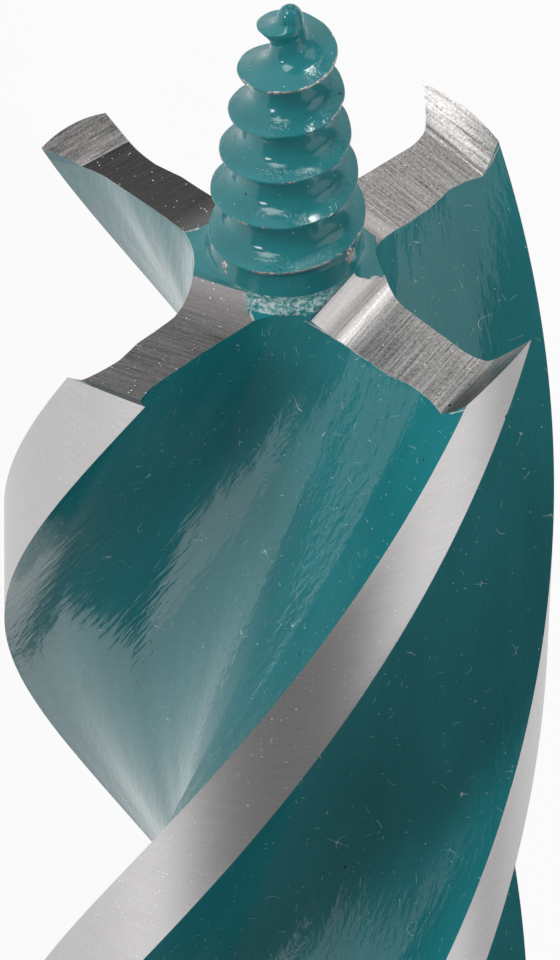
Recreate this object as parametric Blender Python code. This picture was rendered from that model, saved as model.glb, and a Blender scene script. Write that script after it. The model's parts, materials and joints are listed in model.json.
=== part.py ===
"""A four-cutter wood drill bit, in one piece: lead screw, collar, four winged cutters with spurs, right-hand
flutes, round shank and hexagonal end.

It is modelled upright, with its axis on Z, its lead screw up and z = 0 where its spurs' points are. It is then
laid down as it comes to rest on a floor. All sizes are in metres.
"""

from math import asin, atan2, ceil, cos, degrees, hypot, pi, radians, sin, sqrt

import bmesh
import bpy
from mathutils import Matrix, Vector

MM = 0.001

# The whole bit
cut_radius = 10 * MM
overall_length = 160 * MM

# Flutes and wings. Angles are about the bit's axis, and anticlockwise as seen from its tip is forwards
wing_count = 4
lead = 110 * MM
head_length = 52 * MM
back_taper = 0.008
rake_angle = radians(12.9)
hollow_inset = 2.2 * MM
hollow_depth = 0.35 * MM
hook_inset = 1.2 * MM
hook_depth = 0.5 * MM
flute_radius = 4.0 * MM
web_offset = 1.9 * MM

# A wing's back, and the lip that its land overhangs it by
land_angle = radians(18.2)
back_offset = 2.2 * MM
back_start = 6.0 * MM
back_inset = 2.3 * MM
lip_undercut = 0.12 * MM
lip_depth = 0.45 * MM

# The ground flank on top of each wing, and the spur that it sweeps up to
flank_depth = 1.1 * MM
flank_slope = 0.24
flank_reach = 6 * MM
spur_width = 1.2 * MM
spur_rise = 0.65
spur_curve = 0.12 / MM
rim_slope = 0.17
hub_wall = 2.76 * MM
hub_fillet = 2.6 * MM
hub_fillet_foot = 4.65 * MM

# Lead screw
screw_height = 11.2 * MM
screw_pitch = 1.88 * MM
screw_phase = radians(73.3)
screw_foot = -0.9 * MM
crest_radius = 3.07 * MM
crest_taper = 0.15
thread_depth = 0.72 * MM
thread_base = 0.86
fade_start = 0.1 * MM
fade_length = 0.9 * MM
tip_radius = 0.36 * MM
tip_length = 0.35 * MM
tip_taper_length = 2.0 * MM
shoulder_slope = 0.85

# The collar below the lead screw, and the web between the wings that it flares into
collar_height = 0.85 * MM
collar_cone_height = 0.6 * MM
collar_cone_radius = 1.9 * MM
collar_top_radius = 2.7 * MM
collar_radius = 2.74 * MM
web_drop = 0.5 * MM
web_radius = 3.2 * MM
web_edge_radius = 4.0 * MM

# Core, run-out and round shank
core_radius = 3.0 * MM
core_flare_length = 1 * MM
core_length = 36 * MM
run_out_length = 9 * MM
shank_radius = 4.75 * MM
shoulder_length = 2.0 * MM

# Hexagonal end
hex_length = 30 * MM
hex_across_flats = 6.35 * MM
hex_chamfer = 0.8 * MM
hex_turn = radians(26)
groove_centre = 11 * MM
groove_radius = 2.3 * MM
groove_depth = 0.6 * MM

# Facets, and how far pieces that are joined or cut run past or into each other
twist_step = radians(6)
screw_steps = 24
round_steps = 24
BEYOND = 1 * MM
SUNK = 0.1 * MM

# Which way is down in the upright frame when the bit lies on the floor
rest_azimuth = radians(146)

TEAL_PAINT = (0.021, 0.188, 0.194, 1)
GROUND_STEEL = (0.48, 0.47, 0.46, 1)

# Places that the sizes give
pitch_angle = 2 * pi / wing_count
hex_corner = hex_across_flats / 2 / cos(pi / 6)
bar_top = BEYOND
bar_end = -head_length - run_out_length
end_height = screw_height - overall_length
hex_start = end_height + hex_length


def clear_scene():
    for old in list(bpy.data.objects):
        bpy.data.objects.remove(old, do_unlink=True)


def new_collection(name):
    collection = bpy.data.collections.new(name)
    bpy.context.scene.collection.children.link(collection)
    return collection


def material(name, colour, metallic, roughness):
    made = bpy.data.materials.new(name)
    made.use_nodes = True
    made.diffuse_color = colour
    shader = made.node_tree.nodes["Principled BSDF"]
    shader.inputs["Base Color"].default_value = colour
    shader.inputs["Metallic"].default_value = metallic
    shader.inputs["Roughness"].default_value = roughness
    return made


def object_from(bm, name, finishes, collection):
    """A named object that takes the bmesh's faces, turned outwards."""
    bmesh.ops.recalc_face_normals(bm, faces=bm.faces[:])
    mesh = bpy.data.meshes.new(name)
    bm.to_mesh(mesh)
    bm.free()
    for finish in finishes:
        mesh.materials.append(finish)
    made = bpy.data.objects.new(name, mesh)
    collection.objects.link(made)
    return made


def helper_from(bm, name, finish, collection):
    made = object_from(bm, name, [finish], collection)
    made.hide_render = True
    made.display_type = "WIRE"
    return made


def combine(target, other, operation):
    """Joins or cuts target with other, and keeps the finish that each surface had."""
    boolean = target.modifiers.new(f"{operation} {other.name}", "BOOLEAN")
    boolean.operation = operation
    boolean.object = other
    boolean.solver = "EXACT"
    boolean.material_mode = "TRANSFER"


def turn_about_axis(bm, angle):
    bmesh.ops.rotate(bm, cent=(0, 0, 0), matrix=Matrix.Rotation(angle, 3, "Z"), verts=bm.verts[:])


def bend(start, control, end, steps):
    """Points after start on a quadratic curve to end."""
    points = []
    for i in range(1, steps + 1):
        t = i / steps
        points.append((1 - t) ** 2 * start + 2 * t * (1 - t) * control + t**2 * end)
    return points


def arc(centre, radius, first, last, steps):
    """Points on an arc, from the angle first to the angle last."""
    angles = [first + (last - first) * i / steps for i in range(steps + 1)]
    return [centre + radius * Vector((cos(a), sin(a))) for a in angles]


def crossing(point, direction, other_point, other_direction):
    """Where two lines cross."""
    apart = other_point - point
    along = apart.cross(other_direction) / direction.cross(other_direction)
    return point + along * direction


def wing_outline():
    """One wing's leading face, the flute before it, the next wing's back and that wing's land.

    The wing's spur is on +X. The next wing is the same, one pitch angle forwards.
    """
    onward = Matrix.Rotation(pitch_angle, 2)
    tip = Vector((cut_radius, 0))
    hollow = Vector((cut_radius - hollow_inset, -hollow_depth))
    points = [tip]
    points += bend(tip, Vector((cut_radius - hook_inset, -hook_depth)), hollow, 3)
    # The flute's floor is an arc that meets the leading face and the next wing's back.
    inwards = Vector((-cos(rake_angle), sin(rake_angle)))
    corner = crossing(hollow, inwards, onward @ Vector((0, -web_offset)), onward @ Vector((1, 0)))
    opening = pitch_angle + rake_angle
    reach = flute_radius / sin(opening / 2)
    middle = opening / 2 - rake_angle
    centre = corner + reach * Vector((cos(middle), sin(middle)))
    points += arc(centre, flute_radius, -pi / 2 - rake_angle, pitch_angle - 3 * pi / 2, 7)
    # The next wing's back steps out under its land's trailing edge.
    heel = Vector((cut_radius * cos(land_angle), -cut_radius * sin(land_angle)))
    lip = heel + Vector((-lip_depth, lip_undercut))
    foot = Vector((cut_radius - back_inset, -back_offset))
    back = [Vector((back_start, -back_offset)), foot]
    back += bend(foot, Vector((lip.x, foot.y)), lip, 2)
    points += [onward @ point for point in back]
    points += arc(Vector((0, 0)), cut_radius, pitch_angle - land_angle, pitch_angle, 2)[:-1]
    return points


def fluted_bar(finishes, collection):
    """The cross-section of the wings, swept along the flutes' right-hand helix. Its lands have the second finish."""
    bm = bmesh.new()
    corners = []
    for wing in range(wing_count):
        turn = Matrix.Rotation(wing * pitch_angle, 2)
        for point in wing_outline():
            corners.append(bm.verts.new((turn @ point).to_3d()))
    face = bm.faces.new(corners)
    bmesh.ops.translate(bm, vec=(0, 0, bar_top), verts=bm.verts[:])
    turn_about_axis(bm, bar_top / lead * 2 * pi)
    length = bar_top - bar_end
    sweep = length / lead * 2 * pi
    steps = round(sweep / twist_step)
    bmesh.ops.spin(
        bm,
        geom=[face, *face.edges, *face.verts],
        cent=(0, 0, 0),
        axis=(0, 0, 1),
        dvec=(0, 0, -length / steps),
        angle=-sweep,
        steps=steps,
        use_duplicate=False,
    )
    for face in bm.faces:
        on_rim = all(hypot(vertex.co.x, vertex.co.y) > cut_radius - MM / 1000 for vertex in face.verts)
        face.material_index = 1 if on_rim else 0
    for vertex in bm.verts:
        vertex.co.xy *= 1 + back_taper * vertex.co.z / cut_radius
    bmesh.ops.triangulate(bm, faces=[face for face in bm.faces if len(face.verts) == 4])
    return object_from(bm, "wood_drill_bit", finishes, collection)


def turned(name, profile, finish, collection):
    """A closed turned solid from (radius, height) points that start and end on the axis."""
    bm = bmesh.new()
    chain = [bm.verts.new((radius, 0, height)) for radius, height in profile]
    edges = [bm.edges.new(pair) for pair in zip(chain, chain[1:])]
    bmesh.ops.spin(
        bm,
        geom=chain + edges,
        cent=(0, 0, 0),
        axis=(0, 0, 1),
        angle=2 * pi,
        steps=round_steps,
        use_duplicate=False,
    )
    bmesh.ops.remove_doubles(bm, verts=bm.verts[:], dist=MM / 1000)
    return helper_from(bm, name, finish, collection)


def flank_height(across):
    """How high a wing's flank lies, at this distance from the axis along the wing's middle line."""
    height = -flank_depth
    inside = hub_fillet_foot - across
    if inside > 0:
        height += hub_fillet - sqrt(hub_fillet**2 - inside**2)
    past = across - (cut_radius - spur_width)
    if past > 0:
        height += spur_rise * past + spur_curve * past**2
    return height


def relief_at(across):
    """How steeply the flank falls from a wing's cutting edge to its back, less so out at the rim."""
    share = 1 - (cut_radius - across) / spur_width
    return flank_slope + (rim_slope - flank_slope) * min(1, max(0, share))


def flank_cutter(wing, finish, collection):
    """The grinding wheel's path over one wing: the flank's profile, drawn straight across the wing."""
    bm = bmesh.new()
    steps = 6
    steepest = asin((hub_fillet_foot - hub_wall) / hub_fillet)
    stations = [hub_fillet_foot - hub_fillet * sin(steepest * (1 - i / steps)) for i in range(steps + 1)]
    width = spur_width + BEYOND
    stations += [cut_radius - spur_width + width * i / steps for i in range(steps + 1)]
    outline = [Vector((x, 0, flank_height(x))) for x in stations]
    ceiling = bar_top + flank_reach
    outline += [Vector((stations[-1], 0, ceiling)), Vector((hub_wall, 0, ceiling))]
    behind = [bm.verts.new(point) for point in outline]
    face = bm.faces.new(behind)
    grown = bmesh.ops.extrude_face_region(bm, geom=[face])
    ahead = [item for item in grown["geom"] if isinstance(item, bmesh.types.BMVert)]
    for vertex in behind:
        vertex.co += Vector((0, -1, -relief_at(vertex.co.x))) * flank_reach
    for vertex in ahead:
        vertex.co += Vector((0, 1, relief_at(vertex.co.x))) * flank_reach
    bmesh.ops.triangulate(bm, faces=[face for face in bm.faces if len(face.verts) == 4])
    turn_about_axis(bm, wing * pitch_angle - land_angle / 2)
    return helper_from(bm, f"flank_cutter_{wing + 1}", finish, collection)


def cone_at(height):
    """The radius of the cone that the lead screw's thread crests lie on."""
    return crest_radius - crest_taper * height


def root_at(height):
    """The radius of the screw's core, which thins towards the tip."""
    share = min(1, max(0, (screw_height - height) / tip_taper_length))
    return tip_radius + (cone_at(height) - thread_depth - tip_radius) * share


def crest_at(height):
    """The radius of the thread's crest, which is turned off at the tip and fades out into the collar."""
    below = screw_height - tip_length - height
    crest = min(cone_at(height), tip_radius + shoulder_slope * max(0, below))
    fade = min(1, max(0, (height - fade_start) / fade_length))
    root = root_at(height)
    return root + max(0, crest - root) * fade


def thread_outline():
    """(share of the thread's depth, height) of one pitch of the screw: concave flanks up to a thin crest."""
    half = thread_base * screw_pitch / 2
    flank = [(0.0, half), (0.3, 0.48 * half), (0.62, 0.2 * half), (1.0, 0.05 * half)]
    rising = [(share, -height) for share, height in flank]
    return rising + flank[::-1] + [(0.0, screw_pitch - half)]


def lead_screw(finish, collection):
    """The screw's core and thread: the outline of one pitch, wound up the axis, and cut off at both ends."""
    bm = bmesh.new()
    start = screw_foot - screw_pitch
    turns = ceil((screw_height + screw_pitch - start) / screw_pitch)
    # The outline stands on a core of 1 m while it is wound, and each height's own radii are given to it after.
    chain = [bm.verts.new((1 + share, 0, start + height)) for share, height in thread_outline()]
    edges = [bm.edges.new(pair) for pair in zip(chain, chain[1:])]
    bmesh.ops.spin(
        bm,
        geom=chain + edges,
        cent=(0, 0, 0),
        axis=(0, 0, 1),
        dvec=(0, 0, screw_pitch / screw_steps),
        angle=turns * 2 * pi,
        steps=turns * screw_steps,
        use_duplicate=False,
    )
    bmesh.ops.remove_doubles(bm, verts=bm.verts[:], dist=MM / 1000)
    for vertex in bm.verts:
        share = hypot(vertex.co.x, vertex.co.y) - 1
        root = root_at(vertex.co.z)
        vertex.co.xy *= (root + share * (crest_at(vertex.co.z) - root)) / (1 + share)
    for height, outwards in ((screw_height, 1), (screw_foot, -1)):
        bmesh.ops.bisect_plane(
            bm,
            geom=bm.verts[:] + bm.edges[:] + bm.faces[:],
            plane_co=(0, 0, height),
            plane_no=(0, 0, outwards),
            clear_outer=True,
        )
    bmesh.ops.holes_fill(bm, edges=bm.edges[:], sides=0)
    turn_about_axis(bm, screw_phase + 2 * pi * start / screw_pitch)
    return helper_from(bm, "lead_screw", finish, collection)


def spindle_profile():
    """(radius, height) down the collar, the web, the core inside the flutes and the round shank."""
    return [
        (0, collar_height + collar_cone_height),
        (collar_cone_radius, collar_height + collar_cone_height),
        (collar_top_radius, collar_height),
        (collar_radius, 0),
        (web_radius, -web_drop),
        (core_radius, -web_drop - core_flare_length),
        (core_radius, -core_length),
        (shank_radius, bar_end),
        (shank_radius, hex_start + shoulder_length),
        (hex_across_flats / 2, hex_start),
        (hex_across_flats / 2, hex_start - BEYOND),
        (0, hex_start - BEYOND),
    ]


def head_envelope_profile():
    """The turned space that the wings keep within: open above the flanks, and a cone at the run-out."""
    wide = cut_radius + BEYOND
    top = bar_top + BEYOND
    end = bar_end + BEYOND / 2
    return [
        (0, 0),
        (collar_radius - SUNK, 0),
        (web_radius - SUNK, -web_drop),
        (web_edge_radius, -web_drop),
        (web_edge_radius, top),
        (wide, top),
        (wide, -head_length + BEYOND),
        (shank_radius - 2 * SUNK, end),
        (0, end),
    ]


def hex_profile():
    """The turned outline of the hexagonal end: its chamfer and the round groove that a chuck's ball holds."""
    wide = hex_corner + BEYOND
    top = hex_start + BEYOND
    points = [(0, top), (wide, top)]
    # The groove is a half round whose floor lies groove_depth below the flats.
    centre = Vector((hex_across_flats / 2 - groove_depth + groove_radius, end_height + groove_centre))
    first = atan2(groove_radius, wide - centre.x)
    points += [tuple(point) for point in arc(centre, groove_radius, first, 2 * pi - first, 8)]
    points.append((wide, end_height + hex_chamfer + wide - hex_corner))
    points.append((hex_corner - hex_chamfer, end_height))
    points.append((0, end_height))
    return points


def hexagonal_end(finish, collection):
    """A hexagonal bar, a little longer than the end that is turned from it."""
    bm = bmesh.new()
    depth = hex_length + BEYOND
    bmesh.ops.create_cone(bm, cap_ends=True, segments=6, radius1=hex_corner, radius2=hex_corner, depth=depth)
    middle = hex_start + BEYOND / 2 - depth / 2
    bmesh.ops.translate(bm, vec=(0, 0, middle), verts=bm.verts[:])
    turn_about_axis(bm, hex_turn)
    return helper_from(bm, "hexagonal_end", finish, collection)


def finished(made):
    """Applies the joins and cuts, so that the object holds one plain mesh."""
    graph = bpy.context.evaluated_depsgraph_get()
    mesh = bpy.data.meshes.new_from_object(made.evaluated_get(graph))
    made.modifiers.clear()
    made.data = mesh
    return mesh


def mass_centre(mesh):
    mesh.calc_loop_triangles()
    volume = 0
    moment = Vector()
    for triangle in mesh.loop_triangles:
        a, b, c = (mesh.vertices[i].co for i in triangle.vertices)
        part = a.dot(b.cross(c)) / 6
        volume += part
        moment += part * (a + b + c) / 4
    return moment / volume


def resting_face(mesh, wanted):
    """The outward normal of the face of its convex hull that the bit rests on.

    A body rests on such a face when its centre of mass is over it. Of those faces this is the one that turns the
    bit least from the wanted direction.
    """
    bm = bmesh.new()
    for vertex in mesh.vertices:
        bm.verts.new(vertex.co)
    hull = bmesh.ops.convex_hull(bm, input=bm.verts[:], use_existing_faces=False)
    centre = mass_centre(mesh)
    best = None
    for face in (item for item in hull["geom"] if isinstance(item, bmesh.types.BMFace)):
        corners = [vertex.co for vertex in face.verts]
        normal = (corners[1] - corners[0]).cross(corners[2] - corners[0]).normalized()
        if normal.dot(corners[0] - centre) < 0:
            normal.negate()
            corners.reverse()
        pairs = zip(corners, corners[1:] + corners[:1])
        over = all((b - a).cross(centre - a).dot(normal) > 0 for a, b in pairs)
        if over and (best is None or normal.dot(wanted) > best.dot(wanted)):
            best = normal
    bm.free()
    return best


def lay_down(made, mesh):
    """Lays the bit on the floor, its screw towards +X, with the middle of its box's lowest face at the origin."""
    wanted = Vector((cos(rest_azimuth), sin(rest_azimuth), 0))
    down = resting_face(mesh, wanted)
    forward = (Vector((0, 0, 1)) - down * down.z).normalized()
    turn = Matrix((forward, forward.cross(down), -down)).to_4x4()
    corners = [turn @ vertex.co for vertex in mesh.vertices]
    low = Vector(min(corner[i] for corner in corners) for i in range(3))
    high = Vector(max(corner[i] for corner in corners) for i in range(3))
    foot = Vector(((low.x + high.x) / 2, (low.y + high.y) / 2, low.z))
    made.matrix_world = Matrix.Translation(-foot) @ turn
    print("rest: axis dips", round(degrees(atan2(-down.z, hypot(down.x, down.y))), 2), "degrees to its shank")
    print("rest: azimuth", round(degrees(atan2(down.y, down.x)), 2), "degrees is down")


def main():
    clear_scene()
    parts = new_collection("wood drill bit")
    cutters = new_collection("cutters")
    cutters.hide_render = True
    paint = material("teal paint", TEAL_PAINT, 0, 0.25)
    steel = material("ground steel", GROUND_STEEL, 1, 0.4)
    bit = fluted_bar([paint, steel], parts)
    combine(bit, turned("head_envelope", head_envelope_profile(), paint, cutters), "INTERSECT")
    combine(bit, turned("spindle", spindle_profile(), paint, cutters), "UNION")
    for wing in range(wing_count):
        combine(bit, flank_cutter(wing, steel, cutters), "DIFFERENCE")
    combine(bit, lead_screw(paint, cutters), "UNION")
    end = hexagonal_end(steel, cutters)
    combine(end, turned("hex_turning", hex_profile(), steel, cutters), "INTERSECT")
    combine(bit, end, "UNION")
    mesh = finished(bit)
    print(len(mesh.vertices), "vertices,", len(mesh.loop_triangles), "triangles")
    lay_down(bit, mesh)
    mesh.shade_smooth()
    mesh.set_sharp_from_angle(angle=radians(30))


main()
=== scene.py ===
# %% [markdown]
# # A four-cutter wood drill bit
# The real bit is one bar of hardened tool steel. Its flutes are ground along a helix, its outside is
# ground round, it is dipped in teal gloss paint, and its cutting faces are ground bright again through
# the paint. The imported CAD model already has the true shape, in facets. This lesson makes the same bit
# with a fine surface, and gives each surface the finish that its tool left on it.

import json
from math import asin, atan2, ceil, cos, degrees, exp, pi, radians, sin, sqrt

import bpy
from mathutils import Matrix, Vector


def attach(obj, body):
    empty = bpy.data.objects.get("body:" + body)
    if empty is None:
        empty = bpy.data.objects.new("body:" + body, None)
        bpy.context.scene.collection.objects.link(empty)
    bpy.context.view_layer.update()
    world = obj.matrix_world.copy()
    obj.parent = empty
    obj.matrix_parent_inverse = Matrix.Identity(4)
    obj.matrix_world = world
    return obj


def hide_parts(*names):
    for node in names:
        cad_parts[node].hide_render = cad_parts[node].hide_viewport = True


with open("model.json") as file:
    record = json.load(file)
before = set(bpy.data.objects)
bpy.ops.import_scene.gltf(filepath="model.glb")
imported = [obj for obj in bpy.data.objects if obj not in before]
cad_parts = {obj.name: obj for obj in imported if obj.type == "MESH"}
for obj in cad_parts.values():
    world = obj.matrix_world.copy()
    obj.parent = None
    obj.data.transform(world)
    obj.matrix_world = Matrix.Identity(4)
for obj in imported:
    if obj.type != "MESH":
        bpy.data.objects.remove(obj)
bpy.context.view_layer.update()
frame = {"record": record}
scene = bpy.context.scene
bpy.ops.object.select_all(action="DESELECT")

# %% [markdown]
# ## Where the bit lies
# It is easiest to model the bit upright, in millimetres, with its axis on Z, its lead screw up and z = 0
# about where the points of its spurs are. The CAD model lies on the floor. Two of its mounts say how: the
# flat end of the hexagon faces straight down the axis, and one flat of the hexagon faces a known way
# round it.

# %% Place of the upright bit on the floor
MM = 0.001
END_HEIGHT = -148.8
FLAT_AZIMUTH = radians(-34)

mounts = {mount["name"]: mount for mount in frame["record"]["mounts"]}
axis_up = -Vector(mounts["hex_end"]["axis"]).normalized()
flat_out = Vector(mounts["hex_flat"]["axis"])
flat_out = (flat_out - axis_up * flat_out.dot(axis_up)).normalized()
axis_x = Matrix.Rotation(-FLAT_AZIMUTH, 3, axis_up) @ flat_out
axis_y = axis_up.cross(axis_x)
foot = Vector(mounts["hex_end"]["pos_m"]) - axis_up * END_HEIGHT * MM
lay_down = Matrix.Translation(foot) @ Matrix((axis_x, axis_y, axis_up)).transposed().to_4x4()
print("The axis rises", round(degrees(asin(axis_up.z)), 2), "degrees to the lead screw")

# %% [markdown]
# ## Sizes
# These are the sizes of the CAD model, in millimetres, and angles in radians. A cutting diameter of 20 mm
# has four wings and a lead of 110 mm, the height in which a flute goes once round the axis.

# %% Sizes of the head
CUT_RADIUS = 10
WINGS = 4
PITCH_ANGLE = 2 * pi / WINGS
LEAD = 110
HEAD_LENGTH = 52
RUN_OUT_LENGTH = 9
BAR_TOP = 1
BAR_END = -HEAD_LENGTH - RUN_OUT_LENGTH
BACK_TAPER = 0.008

# %% [markdown]
# ## Helpers for modelling
# Every shape starts as a primitive. An operator works on what is selected, so each helper first selects
# the one piece that it works on. A circle's vertices can be moved onto any outline, which is how a
# section starts.


# %% Selecting, starting an outline, applying a modifier, closing a shell
def take(made):
    bpy.ops.object.select_all(action="DESELECT")
    made.select_set(True)
    bpy.context.view_layer.objects.active = made


def outlined(name, points, closed=True):
    """A circle whose vertices are moved onto the points of an outline."""
    bpy.ops.mesh.primitive_circle_add(vertices=len(points), radius=1)
    made = bpy.context.object
    made.name = name
    for vertex, point in zip(made.data.vertices, points):
        vertex.co = Vector(point).to_3d()
    if not closed:
        ends = {0, len(points) - 1}
        for vertex in made.data.vertices:
            vertex.select = vertex.index in ends
        for edge in made.data.edges:
            edge.select = set(edge.vertices) == ends
        bpy.ops.object.mode_set(mode="EDIT")
        bpy.ops.mesh.delete(type="EDGE")
        bpy.ops.object.mode_set(mode="OBJECT")
    return made


def apply_modifier(made, kind, **settings):
    take(made)
    modifier = made.modifiers.new(kind, kind)
    for name, value in settings.items():
        setattr(modifier, name, value)
    bpy.ops.object.modifier_apply(modifier=modifier.name)


def wind(made, turn, rise, steps):
    """Sweeps an outline about Z, and along it, with the Screw modifier."""
    apply_modifier(
        made, "SCREW", axis="Z", angle=turn, screw_offset=rise, steps=steps, render_steps=steps,
        use_merge_vertices=False,
    )


def close_shell(made):
    """Merges doubles, fills the holes, splits the twisted quads and turns all faces outwards."""
    take(made)
    bpy.ops.object.mode_set(mode="EDIT")
    bpy.ops.mesh.select_all(action="SELECT")
    bpy.ops.mesh.remove_doubles(threshold=MM)
    bpy.ops.mesh.fill_holes(sides=0)
    bpy.ops.mesh.select_all(action="DESELECT")
    bpy.ops.mesh.select_face_by_sides(number=4, type="EQUAL")
    bpy.ops.mesh.quads_convert_to_tris(quad_method="FIXED")
    bpy.ops.mesh.select_all(action="SELECT")
    bpy.ops.mesh.normals_make_consistent(inside=False)
    bpy.ops.object.mode_set(mode="OBJECT")


def combine(made, other, operation):
    """An exact Boolean. Each surface keeps its finish, and the other shape is used up."""
    apply_modifier(
        made, "BOOLEAN", object=other, operation=operation, solver="EXACT", material_mode="TRANSFER",
    )
    bpy.data.objects.remove(other)


# %% [markdown]
# ## Four finishes, one slot each
# A Boolean passes on the material of each surface that it cuts or joins. So the shapes carry empty
# materials from the start, and the finishes are built further down.

# %% Empty materials for the four finishes
paint = bpy.data.materials.new("teal_gloss_enamel")
land_steel = bpy.data.materials.new("cylindrically_ground_steel")
flank_steel = bpy.data.materials.new("wheel_ground_steel")
hex_steel = bpy.data.materials.new("bright_drawn_steel")


def finish_with(made, *finishes):
    for finish in finishes:
        made.data.materials.append(finish)


# %% [markdown]
# ## The section across the flutes
# All four wings have the same outline: a hooked leading face, a round flute floor, and the back of the
# next wing, which runs straight and then bends out to the land's heel. Only the points that need to be
# are given. The curves between them are worked out.

# %% Sizes of the section
RAKE = radians(12.9)
HOLLOW_INSET, HOLLOW_DEPTH = 2.2, 0.35
HOOK_INSET, HOOK_DEPTH = 1.2, 0.5
FLUTE_RADIUS = 4.0
WEB_OFFSET = 1.9
LAND_ANGLE = radians(18.2)
BACK_OFFSET, BACK_START, BACK_INSET = 2.2, 6.0, 2.9
HEEL_BEND_INSET, HEEL_BEND_OFFSET = 1.7, 2.42
HOOK_STEPS, FLOOR_STEPS, BACK_STEPS, LAND_STEPS = 10, 24, 8, 8


# %% The section of one wing and flute
def bend(start, control, end, steps):
    """Points after start on a quadratic curve to end."""
    shares = [step / steps for step in range(1, steps + 1)]
    return [(1 - t) ** 2 * start + 2 * t * (1 - t) * control + t**2 * end for t in shares]


def arc(centre, radius, first, last, steps):
    angles = [first + (last - first) * step / steps for step in range(steps + 1)]
    return [centre + radius * Vector((cos(angle), sin(angle))) for angle in angles]


def crossing(point, direction, other_point, other_direction):
    """Where two lines cross."""
    apart = other_point - point
    return point + apart.cross(other_direction) / direction.cross(other_direction) * direction


def wing_section():
    onward = Matrix.Rotation(PITCH_ANGLE, 2)
    tip = Vector((CUT_RADIUS, 0))
    hollow = Vector((CUT_RADIUS - HOLLOW_INSET, -HOLLOW_DEPTH))
    points = [tip, *bend(tip, Vector((CUT_RADIUS - HOOK_INSET, -HOOK_DEPTH)), hollow, HOOK_STEPS)]
    inwards = Vector((-cos(RAKE), sin(RAKE)))
    corner = crossing(hollow, inwards, onward @ Vector((0, -WEB_OFFSET)), onward @ Vector((1, 0)))
    opening = PITCH_ANGLE + RAKE
    middle = opening / 2 - RAKE
    centre = corner + FLUTE_RADIUS / sin(opening / 2) * Vector((cos(middle), sin(middle)))
    points += arc(centre, FLUTE_RADIUS, -pi / 2 - RAKE, PITCH_ANGLE - 3 * pi / 2, FLOOR_STEPS)
    heel = Vector((CUT_RADIUS * cos(LAND_ANGLE), -CUT_RADIUS * sin(LAND_ANGLE)))
    back_foot = Vector((CUT_RADIUS - BACK_INSET, -BACK_OFFSET))
    back = [Vector((BACK_START, -BACK_OFFSET)), back_foot]
    heel_bend = Vector((CUT_RADIUS - HEEL_BEND_INSET, -HEEL_BEND_OFFSET))
    back += bend(back_foot, heel_bend, heel, BACK_STEPS)[:-1]
    points += [onward @ point for point in back]
    land = arc(Vector((0, 0)), CUT_RADIUS, PITCH_ANGLE - LAND_ANGLE, PITCH_ANGLE, LAND_STEPS)
    return points + land[:-1]


# %% [markdown]
# ## The fluted bar
# The section could be extruded straight and twisted. The Screw modifier does both at once, and its rings
# stay square to the axis. The bar thins a little towards the shank, so that a deep hole doesn't hold it.
# What lies on the rim is land, ground round after the flutes, and gets its own finish.

# %% Wind the section down the axis
TWIST_STEP = radians(1.5)

turns = [Matrix.Rotation(wing * PITCH_ANGLE + BAR_TOP / LEAD * 2 * pi, 2) for wing in range(WINGS)]
bit = outlined("painted_drill_bit", [turn @ point for turn in turns for point in wing_section()])
for vertex in bit.data.vertices:
    vertex.co.z = BAR_TOP
finish_with(bit, paint, land_steel)
bar_length = BAR_TOP - BAR_END
bar_sweep = bar_length / LEAD * 2 * pi
wind(bit, -bar_sweep, -bar_length, ceil(bar_sweep / TWIST_STEP))
close_shell(bit)
for face in bit.data.polygons:
    corners = [bit.data.vertices[index].co for index in face.vertices]
    on_rim = all(corner.xy.length > CUT_RADIUS - MM for corner in corners)
    face.material_index = 1 if on_rim and len(corners) < 5 else 0
for vertex in bit.data.vertices:
    vertex.co.xy *= 1 + BACK_TAPER * vertex.co.z / CUT_RADIUS
print("Fluted bar:", len(bit.data.polygons), "faces")

# %% [markdown]
# ## What the lathe turns
# The wings end in a cone at the shank, and they leave room for the collar at the top. The collar, the web
# that it flares into, the core and the shank are one turned profile. Each profile runs down from the axis
# back to the axis.

# %% Sizes of the turned shapes
COLLAR_TOP_RADIUS, COLLAR_RADIUS, COLLAR_HEIGHT = 2.7, 2.74, 0.85
COLLAR_CONE_RADIUS, COLLAR_CONE_HEIGHT = 1.9, 0.6
FLARE_RADIUS, FLARE_DROP, FLARE_STEPS, WEB_STEPS = 3.62, 0.48, 10, 7
FLARE_BULGE, FLARE_SAG = 0.06, 0.08
WEB_EDGE_RADIUS, WEB_DROP = 4.0, 0.5
CORE_RADIUS, CORE_FLARE, CORE_LENGTH = 3.0, 1, 36
SHANK_RADIUS, SHOULDER_LENGTH = 4.75, 2.0
HEX_LENGTH, HEX_ACROSS_FLATS = 30, 6.35
HEX_START = END_HEIGHT + HEX_LENGTH
BEYOND, SUNK = 1, 0.02
ROUND_STEPS = 96


# %% Turn the space for the wings, and the spindle
def turned(name, profile, finish):
    made = outlined(name, [(radius, 0, height) for radius, height in profile])
    finish_with(made, finish)
    wind(made, 2 * pi, 0, ROUND_STEPS)
    close_shell(made)
    return made


def flare(sunk):
    """The hollow curve from the collar's foot out onto the web."""
    top = Vector((COLLAR_RADIUS, -sunk))
    hollow = Vector((COLLAR_RADIUS + FLARE_BULGE, FLARE_SAG - FLARE_DROP - sunk))
    edge = Vector((FLARE_RADIUS, -FLARE_DROP - sunk))
    return [tuple(point) for point in [top, *bend(top, hollow, edge, FLARE_STEPS)]]


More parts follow.
